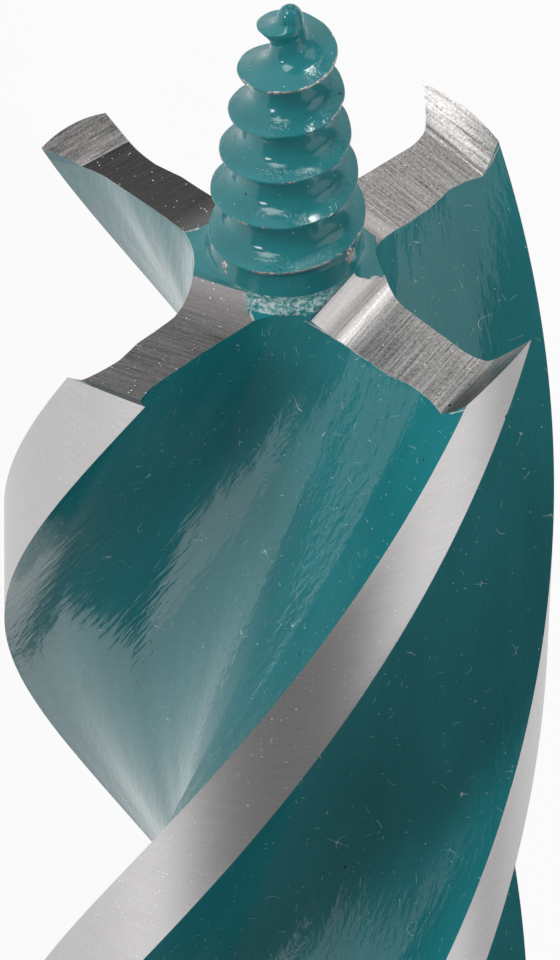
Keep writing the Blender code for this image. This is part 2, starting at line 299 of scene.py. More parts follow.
wide = CUT_RADIUS + BEYOND
room = turned("room_for_wings", [
    (0, -SUNK), *flare(SUNK), (WEB_EDGE_RADIUS, -WEB_DROP - SUNK),
    (WEB_EDGE_RADIUS, BAR_TOP + BEYOND), (wide, BAR_TOP + BEYOND), (wide, -HEAD_LENGTH + BEYOND),
    (SHANK_RADIUS - 10 * SUNK, BAR_END + BEYOND / 2), (0, BAR_END + BEYOND / 2),
], paint)
combine(bit, room, "INTERSECT")
spindle = turned("spindle", [
    (0, COLLAR_HEIGHT + COLLAR_CONE_HEIGHT), (COLLAR_CONE_RADIUS, COLLAR_HEIGHT + COLLAR_CONE_HEIGHT),
    (COLLAR_TOP_RADIUS, COLLAR_HEIGHT), *flare(0)[: WEB_STEPS + 1],
    (CORE_RADIUS, -WEB_DROP - CORE_FLARE), (CORE_RADIUS, -CORE_LENGTH), (SHANK_RADIUS, BAR_END),
    (SHANK_RADIUS, HEX_START + SHOULDER_LENGTH), (HEX_ACROSS_FLATS / 2, HEX_START),
    (HEX_ACROSS_FLATS / 2, HEX_START - BEYOND), (0, HEX_START - BEYOND),
], paint)
combine(bit, spindle, "UNION")
print("With its core and shank:", len(bit.data.polygons), "faces")

# %% [markdown]
# ## The ground flanks and spurs
# A grinding wheel runs straight across each wing. Its profile leaves a fillet at the hub, a flat cutting
# edge, and the sweep up to the spur. The cutter starts as a grid, whose rows are moved onto the profile
# and tilted for the relief behind the edge, and it is then extruded up. A fine grid keeps the twisted
# sweep smooth. The low wall that the wheel's rim leaves at the hub holds its paint.

# %% Sizes of the flank and spur
FLANK_DEPTH, FLANK_SLOPE, FLANK_REACH = 1.1, 0.24, 6
SPUR_WIDTH, SPUR_RISE, SPUR_CURVE, SPUR_BLEND = 1.2, 0.65, 0.12, 0.14
RIM_SLOPE = 0.17
HUB_WALL, HUB_FILLET, HUB_FILLET_FOOT = 2.76, 2.6, 4.65
FLANK_STEPS, CROSS_STEPS = 18, 48


# %% The height of a flank, and its cutter
def flank_height(across):
    """How high a flank lies, at this distance from the axis."""
    height = -FLANK_DEPTH
    inside = HUB_FILLET_FOOT - across
    if inside > 0:
        height += HUB_FILLET - sqrt(HUB_FILLET**2 - inside**2)
    past = across - (CUT_RADIUS - SPUR_WIDTH)
    if past > -SPUR_BLEND:
        eased = (past + SPUR_BLEND) ** 2 / (4 * SPUR_BLEND) if past < SPUR_BLEND else past
        height += SPUR_RISE * eased + SPUR_CURVE * max(0, past) ** 2
    return height


def relief_at(across):
    """How steeply the flank falls behind the cutting edge, less so out at the rim."""
    share = min(1, max(0, 1 - (CUT_RADIUS - across) / SPUR_WIDTH))
    return FLANK_SLOPE + (RIM_SLOPE - FLANK_SLOPE) * share


def flank_cutter(wing):
    steepest = asin((HUB_FILLET_FOOT - HUB_WALL) / HUB_FILLET)
    shares = [step / FLANK_STEPS for step in range(FLANK_STEPS + 1)]
    stations = [HUB_FILLET_FOOT - HUB_FILLET * sin(steepest * (1 - share)) for share in shares]
    spur_start = CUT_RADIUS - SPUR_WIDTH - SPUR_BLEND
    stations += [spur_start + (CUT_RADIUS + BEYOND - spur_start) * share for share in shares]
    bpy.ops.mesh.primitive_grid_add(x_subdivisions=len(stations) - 1, y_subdivisions=CROSS_STEPS, size=2)
    made = bpy.context.object
    made.name = f"flank_cutter_{wing + 1}"
    for vertex in made.data.vertices:
        column = round((vertex.co.x + 1) / 2 * (len(stations) - 1))
        across = vertex.co.y * FLANK_REACH
        vertex.co = (stations[column], across, 0)
        vertex.co.z = flank_height(vertex.co.x) + relief_at(vertex.co.x) * across
    bpy.ops.object.mode_set(mode="EDIT")
    bpy.ops.mesh.select_all(action="SELECT")
    bpy.ops.mesh.extrude_region_move(TRANSFORM_OT_translate={"value": (0, 0, FLANK_REACH)})
    bpy.ops.object.mode_set(mode="OBJECT")
    finish_with(made, flank_steel, paint)
    close_shell(made)
    for face in made.data.polygons:
        face.material_index = 1 if face.center.x < HUB_WALL + MM else 0
    made.data.transform(Matrix.Rotation(wing * PITCH_ANGLE - LAND_ANGLE / 2, 4, "Z"))
    return made


# %% Cut the flank of each wing
for wing in range(WINGS):
    combine(bit, flank_cutter(wing), "DIFFERENCE")
print("With its flanks:", len(bit.data.polygons), "faces")

# %% [markdown]
# ## The lead screw
# It pulls the bit into the wood. Its thread is one thin crest with hollow flanks, so one pitch of its
# outline is wound up the axis. Then each height gets its own radii: the cone of the crests, the core that
# thins to the tip, and the crest's start and end, where it grows out of the nib and sinks into the
# collar.

# %% Sizes of the lead screw
SCREW_HEIGHT, SCREW_PITCH, SCREW_FOOT = 11.2, 1.88, -0.9
SCREW_PHASE = radians(73.3)
CREST_RADIUS, CREST_TAPER, THREAD_DEPTH = 3.07, 0.15, 0.72
THREAD_BASE, CREST_FLAT, FLANK_POWER = 0.9, 0.04, 2.7
FADE_START, FADE_LENGTH = 0.1, 0.9
TIP_RADIUS, TIP_LENGTH, TIP_TAPER_LENGTH, SHOULDER_SLOPE = 0.42, 0.5, 4.0, 1.15
NIB_LENGTH, NIB_END = 0.5, 1.02
TURN_STEPS, PROFILE_STEPS = 96, 12
# Where a crest is dented: height, azimuth and depth.
DENTS = ((1.75, radians(-118), 0.13), (0.35, radians(-112), 0.12), (6.9, radians(-60), 0.06))
DENT_HEIGHT, DENT_ANGLE, UNEVEN = 0.5, 0.28, 0.035


# %% The outline of the thread, and its radii by height
def thread_profile():
    """(share of the thread's depth, height) of one pitch: hollow flanks that rise to a thin crest."""
    half = THREAD_BASE * SCREW_PITCH / 2
    flank = []
    for step in range(PROFILE_STEPS + 1):
        height = 1 - (1 - CREST_FLAT) * step / PROFILE_STEPS
        flank.append((((1 - height) / (1 - CREST_FLAT)) ** FLANK_POWER, height * half))
    rising = [(share, -height) for share, height in flank]
    return rising + flank[::-1] + [(0, SCREW_PITCH - half)]


def dome_at(height):
    """The share of its radius that the rounded nib keeps at this height."""
    into_nib = min(1, max(0, 1 - (SCREW_HEIGHT - height) / NIB_LENGTH))
    return sqrt(NIB_END - into_nib**2)


def core_at(height):
    share = min(1, max(0, (SCREW_HEIGHT - height) / TIP_TAPER_LENGTH))
    thread_foot = CREST_RADIUS - CREST_TAPER * height - THREAD_DEPTH
    return (TIP_RADIUS + (thread_foot - TIP_RADIUS) * share) * dome_at(height)


def crest_at(height, azimuth):
    """The crest's radius: a cone that starts at the nib, sinks into the collar, and is uneven and dented."""
    below = SCREW_HEIGHT - TIP_LENGTH - height
    crest = min(CREST_RADIUS - CREST_TAPER * height, TIP_RADIUS + SHOULDER_SLOPE * max(0, below))
    crest -= UNEVEN * (0.5 + 0.5 * sin(3 * azimuth + 1.7 * height) * sin(7 * azimuth - 2.3 * height))
    for dent_height, dent_azimuth, depth in DENTS:
        reach = ((height - dent_height) / DENT_HEIGHT) ** 2 + ((azimuth - dent_azimuth) / DENT_ANGLE) ** 2
        crest -= depth * exp(-reach)
    fade = min(1, max(0, (height - FADE_START) / FADE_LENGTH))
    return core_at(height) + max(0, crest * dome_at(height) - core_at(height)) * fade


# %% Wind the thread, shape it by height and cut it off at both ends
screw_start = SCREW_FOOT - SCREW_PITCH
screw_turns = ceil((SCREW_HEIGHT + SCREW_PITCH - screw_start) / SCREW_PITCH)
# The outline stands on a core of radius 10 while it is wound.
GUIDE = 10
profile = [(GUIDE + share, 0, screw_start + height) for share, height in thread_profile()]
screw = outlined("lead_screw", profile, closed=False)
finish_with(screw, paint)
wind(screw, screw_turns * 2 * pi, screw_turns * SCREW_PITCH, screw_turns * TURN_STEPS)
take(screw)
bpy.ops.object.mode_set(mode="EDIT")
bpy.ops.mesh.select_all(action="SELECT")
bpy.ops.mesh.remove_doubles(threshold=MM)
bpy.ops.object.mode_set(mode="OBJECT")
screw.data.transform(Matrix.Rotation(SCREW_PHASE + 2 * pi * screw_start / SCREW_PITCH, 4, "Z"))
for vertex in screw.data.vertices:
    share = vertex.co.xy.length - GUIDE
    core = core_at(vertex.co.z)
    azimuth = atan2(vertex.co.y, vertex.co.x)
    vertex.co.xy *= (core + share * (crest_at(vertex.co.z, azimuth) - core)) / (GUIDE + share)
for height, outwards in ((SCREW_HEIGHT, 1), (SCREW_FOOT, -1)):
    bpy.ops.object.mode_set(mode="EDIT")
    bpy.ops.mesh.select_all(action="SELECT")
    bpy.ops.mesh.bisect(plane_co=(0, 0, height), plane_no=(0, 0, outwards), clear_outer=True, use_fill=True)
    bpy.ops.object.mode_set(mode="OBJECT")
close_shell(screw)
print("Lead screw:", len(screw.data.polygons), "faces")
combine(bit, screw, "UNION")

# %% [markdown]
# ## The hexagonal end
# A drill's chuck holds the bit here. The end is a drawn hexagonal bar, chamfered and grooved on a lathe,
# so a six-sided cylinder is cut by a turned profile.

# %% Turn the hexagonal end and join it
HEX_CORNER = HEX_ACROSS_FLATS / 2 / cos(pi / 6)
HEX_CHAMFER, HEX_TURN = 0.8, radians(26)
GROOVE_CENTRE, GROOVE_RADIUS, GROOVE_DEPTH = 11, 2.3, 0.6

depth = HEX_LENGTH + BEYOND
bpy.ops.mesh.primitive_cylinder_add(
    vertices=6, radius=HEX_CORNER, depth=depth, location=(0, 0, HEX_START + BEYOND / 2 - depth / 2),
)
hexagon = bpy.context.object
hexagon.name = "hexagonal_end"
bpy.ops.object.transform_apply(location=True, rotation=True, scale=True)
finish_with(hexagon, hex_steel)
hexagon.data.transform(Matrix.Rotation(HEX_TURN, 4, "Z"))
groove_middle = Vector((HEX_ACROSS_FLATS / 2 - GROOVE_DEPTH + GROOVE_RADIUS, END_HEIGHT + GROOVE_CENTRE))
wide = HEX_CORNER + BEYOND
groove_edge = atan2(GROOVE_RADIUS, wide - groove_middle.x)
groove = arc(groove_middle, GROOVE_RADIUS, groove_edge, 2 * pi - groove_edge, FLOOR_STEPS)
turning = turned("hex_turning", [
    (0, HEX_START + BEYOND), (wide, HEX_START + BEYOND), *groove,
    (wide, END_HEIGHT + HEX_CHAMFER + wide - HEX_CORNER), (HEX_CORNER - HEX_CHAMFER, END_HEIGHT),
    (0, END_HEIGHT),
], hex_steel)
combine(hexagon, turning, "INTERSECT")
combine(bit, hexagon, "UNION")
print("Whole bit:", len(bit.data.polygons), "faces, materials", [slot.name for slot in bit.data.materials])

# %% [markdown]
# ## Which way each tool ran
# Ground steel is covered with fine lines, and they make its look. A UV map can carry them: its U runs
# along the lines and its V across them, in millimetres. On a flank they run straight across the wing, on
# a land round the bit, and on the drawn hexagon along it.

# %% A UV map along the grinding lines
# The four flanks lie this far apart on the map.
SHEET = 40


def grain_at(finish, centre, point):
    if finish == flank_steel:
        wing = round((atan2(centre.y, centre.x) + LAND_ANGLE / 2) / PITCH_ANGLE) % WINGS
        local = Matrix.Rotation(LAND_ANGLE / 2 - wing * PITCH_ANGLE, 3, "Z") @ point
        return local.y, local.x + wing * SHEET
    middle = atan2(centre.y, centre.x)
    local = Matrix.Rotation(-middle, 3, "Z") @ point
    around = CUT_RADIUS * (middle + atan2(local.y, local.x))
    return (point.z, around) if finish == hex_steel else (around, point.z)


grain = bit.data.uv_layers.new(name="grain")
finishes = list(bit.data.materials)
for face in bit.data.polygons:
    finish = finishes[face.material_index]
    for loop in face.loop_indices:
        point = bit.data.vertices[bit.data.loops[loop].vertex_index].co
        grain.uv[loop].vector = grain_at(finish, face.center, point)

# %% [markdown]
# ## Lay it down
# The finished bit goes to its place on the floor in metres, and it then stands for the plain CAD model.

# %% Place the bit and shade it
take(bit)
bit.matrix_world = lay_down @ Matrix.Scale(MM, 4)
bpy.ops.object.transform_apply(location=True, rotation=True, scale=True)
bpy.ops.object.shade_smooth_by_angle(angle=radians(25))
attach(bit, "root")
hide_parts("wood_drill_bit")
bit.data.calc_loop_triangles()
print("Triangles:", len(bit.data.loop_triangles))

# %% [markdown]
# ## Helpers for finishes
# Colours are written as they look on a screen, as sRGB hex values, and a shader wants them linear. All
# patterns are drawn in upright millimetres, so each material starts by turning Object coordinates back.


# %% Colours and nodes
def linear(code):
    shares = [int(code[start : start + 2], 16) / 255 for start in (1, 3, 5)]
    lit = [share / 12.92 if share <= 0.04045 else ((share + 0.055) / 1.055) ** 2.4 for share in shares]
    return (*lit, 1)


def add(tree, kind, settings=None, inputs=None):
    """Adds a node, and sets its properties and its inputs. An input that is a socket is linked."""
    made = tree.nodes.new(kind)
    for name, value in (settings or {}).items():
        setattr(made, name, value)
    for name, value in (inputs or {}).items():
        if isinstance(value, bpy.types.NodeSocket):
            tree.links.new(value, made.inputs[name])
        else:
            made.inputs[name].default_value = value
    return made.outputs


def start_finish(finish):
    """The tree and shader of a finish, and upright coordinates in millimetres."""
    finish.use_nodes = True
    tree = finish.node_tree
    shader = tree.nodes["Principled BSDF"]
    place = add(tree, "ShaderNodeTexCoord")["Object"]
    upright = add(
        tree, "ShaderNodeMapping", {"vector_type": "TEXTURE"},
        {"Vector": place, "Location": foot, "Rotation": lay_down.to_euler(), "Scale": (MM, MM, MM)},
    )["Vector"]
    return tree, shader, upright


# %% [markdown]
# ## Small marks
# Paint and steel that have been handled carry specks, chips and fibres. Specks are the middles of some of
# the cells of a Voronoi pattern. Fibres are short pieces of the curves along which a soft noise has its
# middle value.


# %% Specks and fibres
def specks(tree, place, spacing, share, radius):
    """A mask of round specks: their cells' spacing, the share of cells with one, and its greatest radius."""
    cells = add(tree, "ShaderNodeTexVoronoi", None, {"Vector": place, "Scale": 1 / spacing})
    chances = add(tree, "ShaderNodeSeparateColor", None, {0: cells["Color"]})
    chosen = add(tree, "ShaderNodeMath", {"operation": "LESS_THAN"}, {0: chances[0], 1: share})[0]
    reach = add(tree, "ShaderNodeMath", {"operation": "MULTIPLY"}, {0: chances[1], 1: radius / spacing})[0]
    inside = add(tree, "ShaderNodeMath", {"operation": "LESS_THAN"}, {0: cells["Distance"], 1: reach})[0]
    return add(tree, "ShaderNodeMath", {"operation": "MULTIPLY"}, {0: chosen, 1: inside})[0]


def fibres(tree, place, size, width, share):
    """A mask of short curved lines: the size of their curves, their width, and how much of them is there."""
    field = add(tree, "ShaderNodeTexNoise", None, {"Vector": place, "Scale": 1 / size, "Detail": 0})[0]
    line = add(tree, "ShaderNodeMath", {"operation": "COMPARE"}, {0: field, 1: 0.5, 2: width / size / 4})[0]
    where = add(tree, "ShaderNodeTexNoise", None, {"Vector": place, "Scale": 1.6 / size, "Detail": 1})[0]
    kept = add(tree, "ShaderNodeMath", {"operation": "GREATER_THAN"}, {0: where, 1: 1 - share})[0]
    return add(tree, "ShaderNodeMath", {"operation": "MULTIPLY"}, {0: line, 1: kept})[0]


def in_sector(tree, place, middle):
    """Turns a place into the frame of the nearest of four directions. The first has this azimuth."""
    parts = add(tree, "ShaderNodeSeparateXYZ", None, {0: place})
    azimuth = add(tree, "ShaderNodeMath", {"operation": "ARCTAN2"}, {0: parts["Y"], 1: parts["X"]})[0]
    azimuth = add(tree, "ShaderNodeMath", {"operation": "ADD"}, {
        0: azimuth, 1: PITCH_ANGLE / 2 - middle})[0]
    nearest = add(tree, "ShaderNodeMath", {"operation": "SNAP"}, {0: azimuth, 1: PITCH_ANGLE})[0]
    turn = add(tree, "ShaderNodeMath", {"operation": "MULTIPLY_ADD"}, {0: nearest, 1: -1, 2: -middle})[0]
    return add(tree, "ShaderNodeVectorRotate", {"rotation_type": "Z_AXIS"}, {
        "Vector": place, "Angle": turn})[0]


# %% [markdown]
# ## Teal gloss enamel
# The bit is dipped in a solvent enamel, which gives a hard, wet gloss over the marks of the cutter that
# made the flutes. The marks cross each flute askew, so the pattern is unwound by the lead, turned into
# the frame of its own flute, and sheared. They feather the edges of each reflection, and broad waves
# along the flute bend it.

# %% Sizes and colours of the enamel
FLUTE_MIDDLE = radians(35)
# How far a mark runs sideways for each millimetre of height, and the width of a mark and of a wave as a
# share of its length.
MARK_SHEAR, MARK_SHRINK, WAVE_SHRINK = (0.27, -0.27), 0.11, 0.06
# How many of each pattern's grains there are to a millimetre.
MARKS_PER_MM, WAVES_PER_MM, GRIT_PER_MM, RIPPLES_PER_MM = 5, 0.7, 7, 3.5
# How deep each relief is in metres, the unit of a Bump node. The real marks are shallower and finer, and
# are drawn as coarse as they need to be to show.
MARK_DEPTH, WAVE_DEPTH, GRIT_DEPTH, RIPPLE_DEPTH = 0.000024, 0.00007, 0.00004, 0.00025
COLLAR_REACH = 3.3
BAND_HEIGHT, BAND_HALF_HEIGHT = -0.3, 0.22
# The middle of the foot band, on the side towards the camera, where its ripples and painted glints are.
ROUGH_FOOT = (1.4, -2.55, BAND_HEIGHT)
TEAL_DARK, TEAL_LIGHT = "#1A767C", "#2E939A"
# The pale colour serves real dust and hairs, and also the painted glints at the collar's foot.
DUST_AND_GLINT_COLOUR, CHIP_COLOUR = "#C9DCD9", "#22302F"
BARE_DARK, BARE_LIGHT = "#7E7776", "#D8D3D1"
BURR_LIGHT, BURR_STAINED = "#EDEBE8", "#8F8468"
PALE_SHARE = 0.75
ENAMEL_ROUGHNESS, WORN_ROUGHNESS = 0.14, 0.4

# %% Places on the painted surface
tree, shader, upright = start_finish(paint)
height = add(tree, "ShaderNodeSeparateXYZ", None, {0: upright})["Z"]
level = add(tree, "ShaderNodeVectorMath", {"operation": "MULTIPLY"}, {0: upright, 1: (1, 1, 0)})[0]
radius = add(tree, "ShaderNodeVectorMath", {"operation": "LENGTH"}, {0: level})["Value"]
unturn = add(tree, "ShaderNodeMath", {"operation": "MULTIPLY"}, {0: height, 1: -2 * pi / LEAD})[0]
unwound = add(tree, "ShaderNodeVectorRotate", {"rotation_type": "Z_AXIS"}, {
    "Vector": upright, "Angle": unturn})[0]
in_flute = in_sector(tree, unwound, FLUTE_MIDDLE)
on_screw = add(tree, "ShaderNodeMapRange", None, {"Value": height, "From Min": -0.1, "From Max": 0.9})[0]
off_screw = add(tree, "ShaderNodeMapRange", None, {"Value": height, "From Min": -0.3, "From Max": -1.0})[0]

# How far a point is inside the ground outside of the bit, and inside the cone of the screw's crests.
rim = add(tree, "ShaderNodeMath", {"operation": "MULTIPLY_ADD"}, {
    0: height, 1: BACK_TAPER, 2: CUT_RADIUS})[0]
crest = add(tree, "ShaderNodeMath", {"operation": "MULTIPLY_ADD"}, {
    0: height, 1: -CREST_TAPER, 2: CREST_RADIUS})[0]
outline = add(tree, "ShaderNodeMix", {"data_type": "FLOAT"}, {"Factor": on_screw, 2: rim, 3: crest})[0]
inside = add(tree, "ShaderNodeMath", {"operation": "SUBTRACT"}, {0: outline, 1: radius})[0]

# %% Milling marks and waves in the flutes
drawn_out = add(tree, "ShaderNodeVectorMath", {"operation": "MULTIPLY_ADD"}, {
    0: height, 1: (*MARK_SHEAR, MARK_SHRINK - 1), 2: in_flute})[0]
marks = add(tree, "ShaderNodeTexNoise", None, {"Vector": drawn_out, "Scale": MARKS_PER_MM, "Detail": 2})[0]
marks = add(tree, "ShaderNodeMath", {"operation": "MULTIPLY"}, {0: marks, 1: off_screw})[0]
waves = add(tree, "ShaderNodeMapping", None, {"Vector": unwound, "Scale": (1, 1, WAVE_SHRINK)})[0]
waves = add(tree, "ShaderNodeTexNoise", None, {"Vector": waves, "Scale": WAVES_PER_MM, "Detail": 1})[0]
waves = add(tree, "ShaderNodeMath", {"operation": "MULTIPLY"}, {0: waves, 1: off_screw})[0]

# %% Grit in the paint on the outer flanks of the screw
patches = add(tree, "ShaderNodeTexNoise", None, {"Vector": upright, "Scale": 0.7, "Detail": 1})[0]
patches = add(tree, "ShaderNodeMapRange", None, {"Value": patches, "From Min": 0.4, "From Max": 0.6})[0]
grit = add(tree, "ShaderNodeTexNoise", None, {"Vector": upright, "Scale": GRIT_PER_MM, "Detail": 3})[0]
grit = add(tree, "ShaderNodeMath", {"operation": "MULTIPLY"}, {0: grit, 1: patches})[0]
on_flank = add(tree, "ShaderNodeMapRange", None, {"Value": inside, "From Min": 0.55, "From Max": 0.4})[0]
on_flank = add(tree, "ShaderNodeMath", {"operation": "MULTIPLY"}, {0: on_flank, 1: on_screw})[0]
grit = add(tree, "ShaderNodeMath", {"operation": "MULTIPLY"}, {0: grit, 1: on_flank})[0]

# %% The crumpled band at the foot of the collar, and its painted glints
foot_band = add(tree, "ShaderNodeMath", {"operation": "COMPARE"}, {
    0: height, 1: BAND_HEIGHT, 2: BAND_HALF_HEIGHT})[0]
by_collar = add(tree, "ShaderNodeMath", {"operation": "LESS_THAN"}, {0: radius, 1: COLLAR_REACH})[0]
foot_band = add(tree, "ShaderNodeMath", {"operation": "MULTIPLY"}, {0: foot_band, 1: by_collar})[0]
away = add(tree, "ShaderNodeVectorMath", {"operation": "DISTANCE"}, {0: upright, 1: ROUGH_FOOT})["Value"]
nearby = add(tree, "ShaderNodeMapRange", None, {"Value": away, "From Min": 2.2, "From Max": 1.5})[0]
foot_band = add(tree, "ShaderNodeMath", {"operation": "MULTIPLY"}, {0: foot_band, 1: nearby})[0]
ripples = add(tree, "ShaderNodeTexNoise", None, {"Vector": upright, "Scale": RIPPLES_PER_MM, "Detail": 4})[0]
ripples = add(tree, "ShaderNodeMath", {"operation": "MULTIPLY"}, {0: ripples, 1: foot_band})[0]

# %% All relief, one bump on the last
beneath = {}
for relief, depth in ((marks, MARK_DEPTH), (waves, WAVE_DEPTH), (grit, GRIT_DEPTH), (ripples, RIPPLE_DEPTH)):
    bump = add(tree, "ShaderNodeBump", None, {"Height": relief, "Distance": depth, **beneath})[0]
    beneath = {"Normal": bump}
tree.links.new(bump, shader.inputs["Normal"])

# %% Teal, dust, hairs, painted glints and chips
shades = add(tree, "ShaderNodeTexNoise", None, {"Vector": drawn_out, "Scale": 0.5, "Detail": 3})[0]
colour = add(tree, "ShaderNodeMix", {"data_type": "RGBA"}, {
    "Factor": shades, 6: linear(TEAL_DARK), 7: linear(TEAL_LIGHT)})[2]
dust = specks(tree, upright, 0.2, 0.25, 0.032)
hairs = fibres(tree, upright, 0.8, 0.014, 0.38)
hairs = add(tree, "ShaderNodeMath", {"operation": "MULTIPLY"}, {0: hairs, 1: off_screw})[0]
pale = add(tree, "ShaderNodeMath", {"operation": "MAXIMUM"}, {0: dust, 1: hairs})[0]
pale = add(tree, "ShaderNodeMath", {"operation": "MULTIPLY"}, {0: pale, 1: PALE_SHARE})[0]
# Painted glints: pale noise patches in the band at the collar's foot stand in for light caught by its
# crumpled paint.
round_foot = add(tree, "ShaderNodeMapping", None, {"Vector": upright, "Scale": (1, 1, 2.2)})[0]
painted_glints = add(tree, "ShaderNodeTexNoise", None, {
    "Vector": round_foot, "Scale": 4, "Detail": 6, "Roughness": 0.75})[0]
painted_glints = add(tree, "ShaderNodeMapRange", None, {"Value": painted_glints, "From Min": 0.45, "From Max": 0.6})[0]
painted_glints = add(tree, "ShaderNodeMath", {"operation": "MULTIPLY"}, {0: painted_glints, 1: foot_band})[0]
pale = add(tree, "ShaderNodeMath", {"operation": "MAXIMUM"}, {0: pale, 1: painted_glints})[0]
chips = specks(tree, upright, 0.8, 0.2, 0.07)

# %% [markdown]
# ## Where the enamel is gone
# It is rubbed off the crests of the thread, most of all off the turn next to the tip, and off the collar
# in a few patches. The wheel that ground the flanks left a bare burr along the edge of the paint. All
# three are masks: worn steel shows where a point is nearly outside the cone of the crests, near a patch's
# middle, or just under a flank's own curve, which the nodes work out again from its sizes.

# %% Worn crests
ragged = add(tree, "ShaderNodeTexNoise", None, {
    "Vector": upright, "Scale": 0.6, "Detail": 8, "Roughness": 0.75})[0]
ragged = add(tree, "ShaderNodeMapRange", None, {
    "Value": ragged, "From Min": 0.42, "From Max": 0.75, "To Min": -0.045, "To Max": 0.065})[0]
bare_turn = add(tree, "ShaderNodeMath", {"operation": "COMPARE"}, {0: height, 1: 8.9, 2: 0.5})[0]
ragged = add(tree, "ShaderNodeMath", {"operation": "MULTIPLY_ADD"}, {0: bare_turn, 1: 0.035, 2: ragged})[0]
worn = add(tree, "ShaderNodeMath", {"operation": "LESS_THAN"}, {0: inside, 1: ragged})[0]

# %% Bare patches on the collar
# The place and the radius of each, in upright millimetres.
BARE_PATCHES = (((2.7, -0.1, 0.8), 0.28), ((-1.0, -2.5, 0.35), 0.12), ((-1.8, -2.1, 0.5), 0.12))

rough_edge = add(tree, "ShaderNodeTexNoise", None, {"Vector": upright, "Scale": 3, "Detail": 4})[0]
for place, reach in BARE_PATCHES:
    away = add(tree, "ShaderNodeVectorMath", {"operation": "DISTANCE"}, {0: upright, 1: place})["Value"]
    away = add(tree, "ShaderNodeMath", {"operation": "SUBTRACT"}, {0: away, 1: rough_edge})[0]
    patch = add(tree, "ShaderNodeMath", {"operation": "LESS_THAN"}, {0: away, 1: reach - 0.5})[0]
    worn = add(tree, "ShaderNodeMath", {"operation": "MAXIMUM"}, {0: worn, 1: patch})[0]

# %% Burrs along the ground flanks
on_wing = add(tree, "ShaderNodeSeparateXYZ", None, {0: in_sector(tree, upright, -LAND_ANGLE / 2)})
along, across = on_wing["X"], on_wing["Y"]
flank = add(tree, "ShaderNodeMath", {"operation": "MULTIPLY_ADD"}, {
    0: across, 1: FLANK_SLOPE, 2: -FLANK_DEPTH})[0]
past = add(tree, "ShaderNodeMath", {"operation": "SUBTRACT"}, {0: along, 1: CUT_RADIUS - SPUR_WIDTH})[0]
past = add(tree, "ShaderNodeMath", {"operation": "MAXIMUM"}, {0: past, 1: 0})[0]
steep = add(tree, "ShaderNodeMath", {"operation": "MULTIPLY_ADD"}, {
    0: past, 1: SPUR_CURVE, 2: SPUR_RISE})[0]
flank = add(tree, "ShaderNodeMath", {"operation": "MULTIPLY_ADD"}, {0: past, 1: steep, 2: flank})[0]
short = add(tree, "ShaderNodeMath", {"operation": "SUBTRACT"}, {0: HUB_FILLET_FOOT, 1: along})[0]
short = add(tree, "ShaderNodeMath", {"operation": "MAXIMUM"}, {0: short, 1: 0})[0]
square = add(tree, "ShaderNodeMath", {"operation": "POWER"}, {0: short, 1: 2})[0]
flank = add(tree, "ShaderNodeMath", {"operation": "MULTIPLY_ADD"}, {
    0: square, 1: 0.5 / HUB_FILLET, 2: flank})[0]
under = add(tree, "ShaderNodeMath", {"operation": "SUBTRACT"}, {0: flank, 1: height})[0]
burr_width = add(tree, "ShaderNodeTexNoise", None, {
    "Vector": upright, "Scale": 1.1, "Detail": 6, "Roughness": 0.7})[0]
burr_width = add(tree, "ShaderNodeMapRange", None, {
    "Value": burr_width, "From Min": 0.42, "From Max": 0.72, "To Max": 0.07})[0]
burr = add(tree, "ShaderNodeMath", {"operation": "COMPARE"}, {0: under, 1: 0, 2: burr_width})[0]
off_collar = add(tree, "ShaderNodeMath", {"operation": "GREATER_THAN"}, {0: radius, 1: COLLAR_REACH})[0]
burr = add(tree, "ShaderNodeMath", {"operation": "MULTIPLY"}, {0: burr, 1: off_collar})[0]

# %% All colours, one over the last
mottle = add(tree, "ShaderNodeTexNoise", None, {"Vector": upright, "Scale": 9, "Detail": 3})[0]
mottle = add(tree, "ShaderNodeMapRange", None, {"Value": mottle, "From Min": 0.35, "From Max": 0.6})[0]
bare = add(tree, "ShaderNodeMix", {"data_type": "RGBA"}, {
    "Factor": mottle, 6: linear(BARE_DARK), 7: linear(BARE_LIGHT)})[2]
torn_edge = add(tree, "ShaderNodeMix", {"data_type": "RGBA"}, {
    "Factor": rough_edge, 6: linear(BURR_LIGHT), 7: linear(BURR_STAINED)})[2]
for mask, over in (
    (pale, linear(DUST_AND_GLINT_COLOUR)), (chips, linear(CHIP_COLOUR)), (worn, bare), (burr, torn_edge),
):
    colour = add(tree, "ShaderNodeMix", {"data_type": "RGBA"}, {"Factor": mask, 6: colour, 7: over})[2]
dull = add(tree, "ShaderNodeMath", {"operation": "MAXIMUM"}, {0: pale, 1: worn})[0]
dull = add(tree, "ShaderNodeMapRange", None, {
    "Value": dull, "To Min": ENAMEL_ROUGHNESS, "To Max": WORN_ROUGHNESS})[0]
tree.links.new(colour, shader.inputs["Base Color"])
tree.links.new(worn, shader.inputs["Metallic"])
tree.links.new(dull, shader.inputs["Roughness"])
print(paint.name, "has", len(tree.nodes), "nodes")

# %% [markdown]
# ## Ground steel
# The flanks and lands are ground after the paint is dry. A grinding wheel leaves fine parallel lines,
# some bright and some dark, with small torn spots. The spots' near-white colour is a painted glint. The
# lands are ground finer than the flanks, so they look satin. Metallic 1 and the lines' own direction as
# the tangent draw each highlight out across the lines. The real lines are about a hundredth of a
# millimetre apart, and are drawn five times as coarse, so that they show.

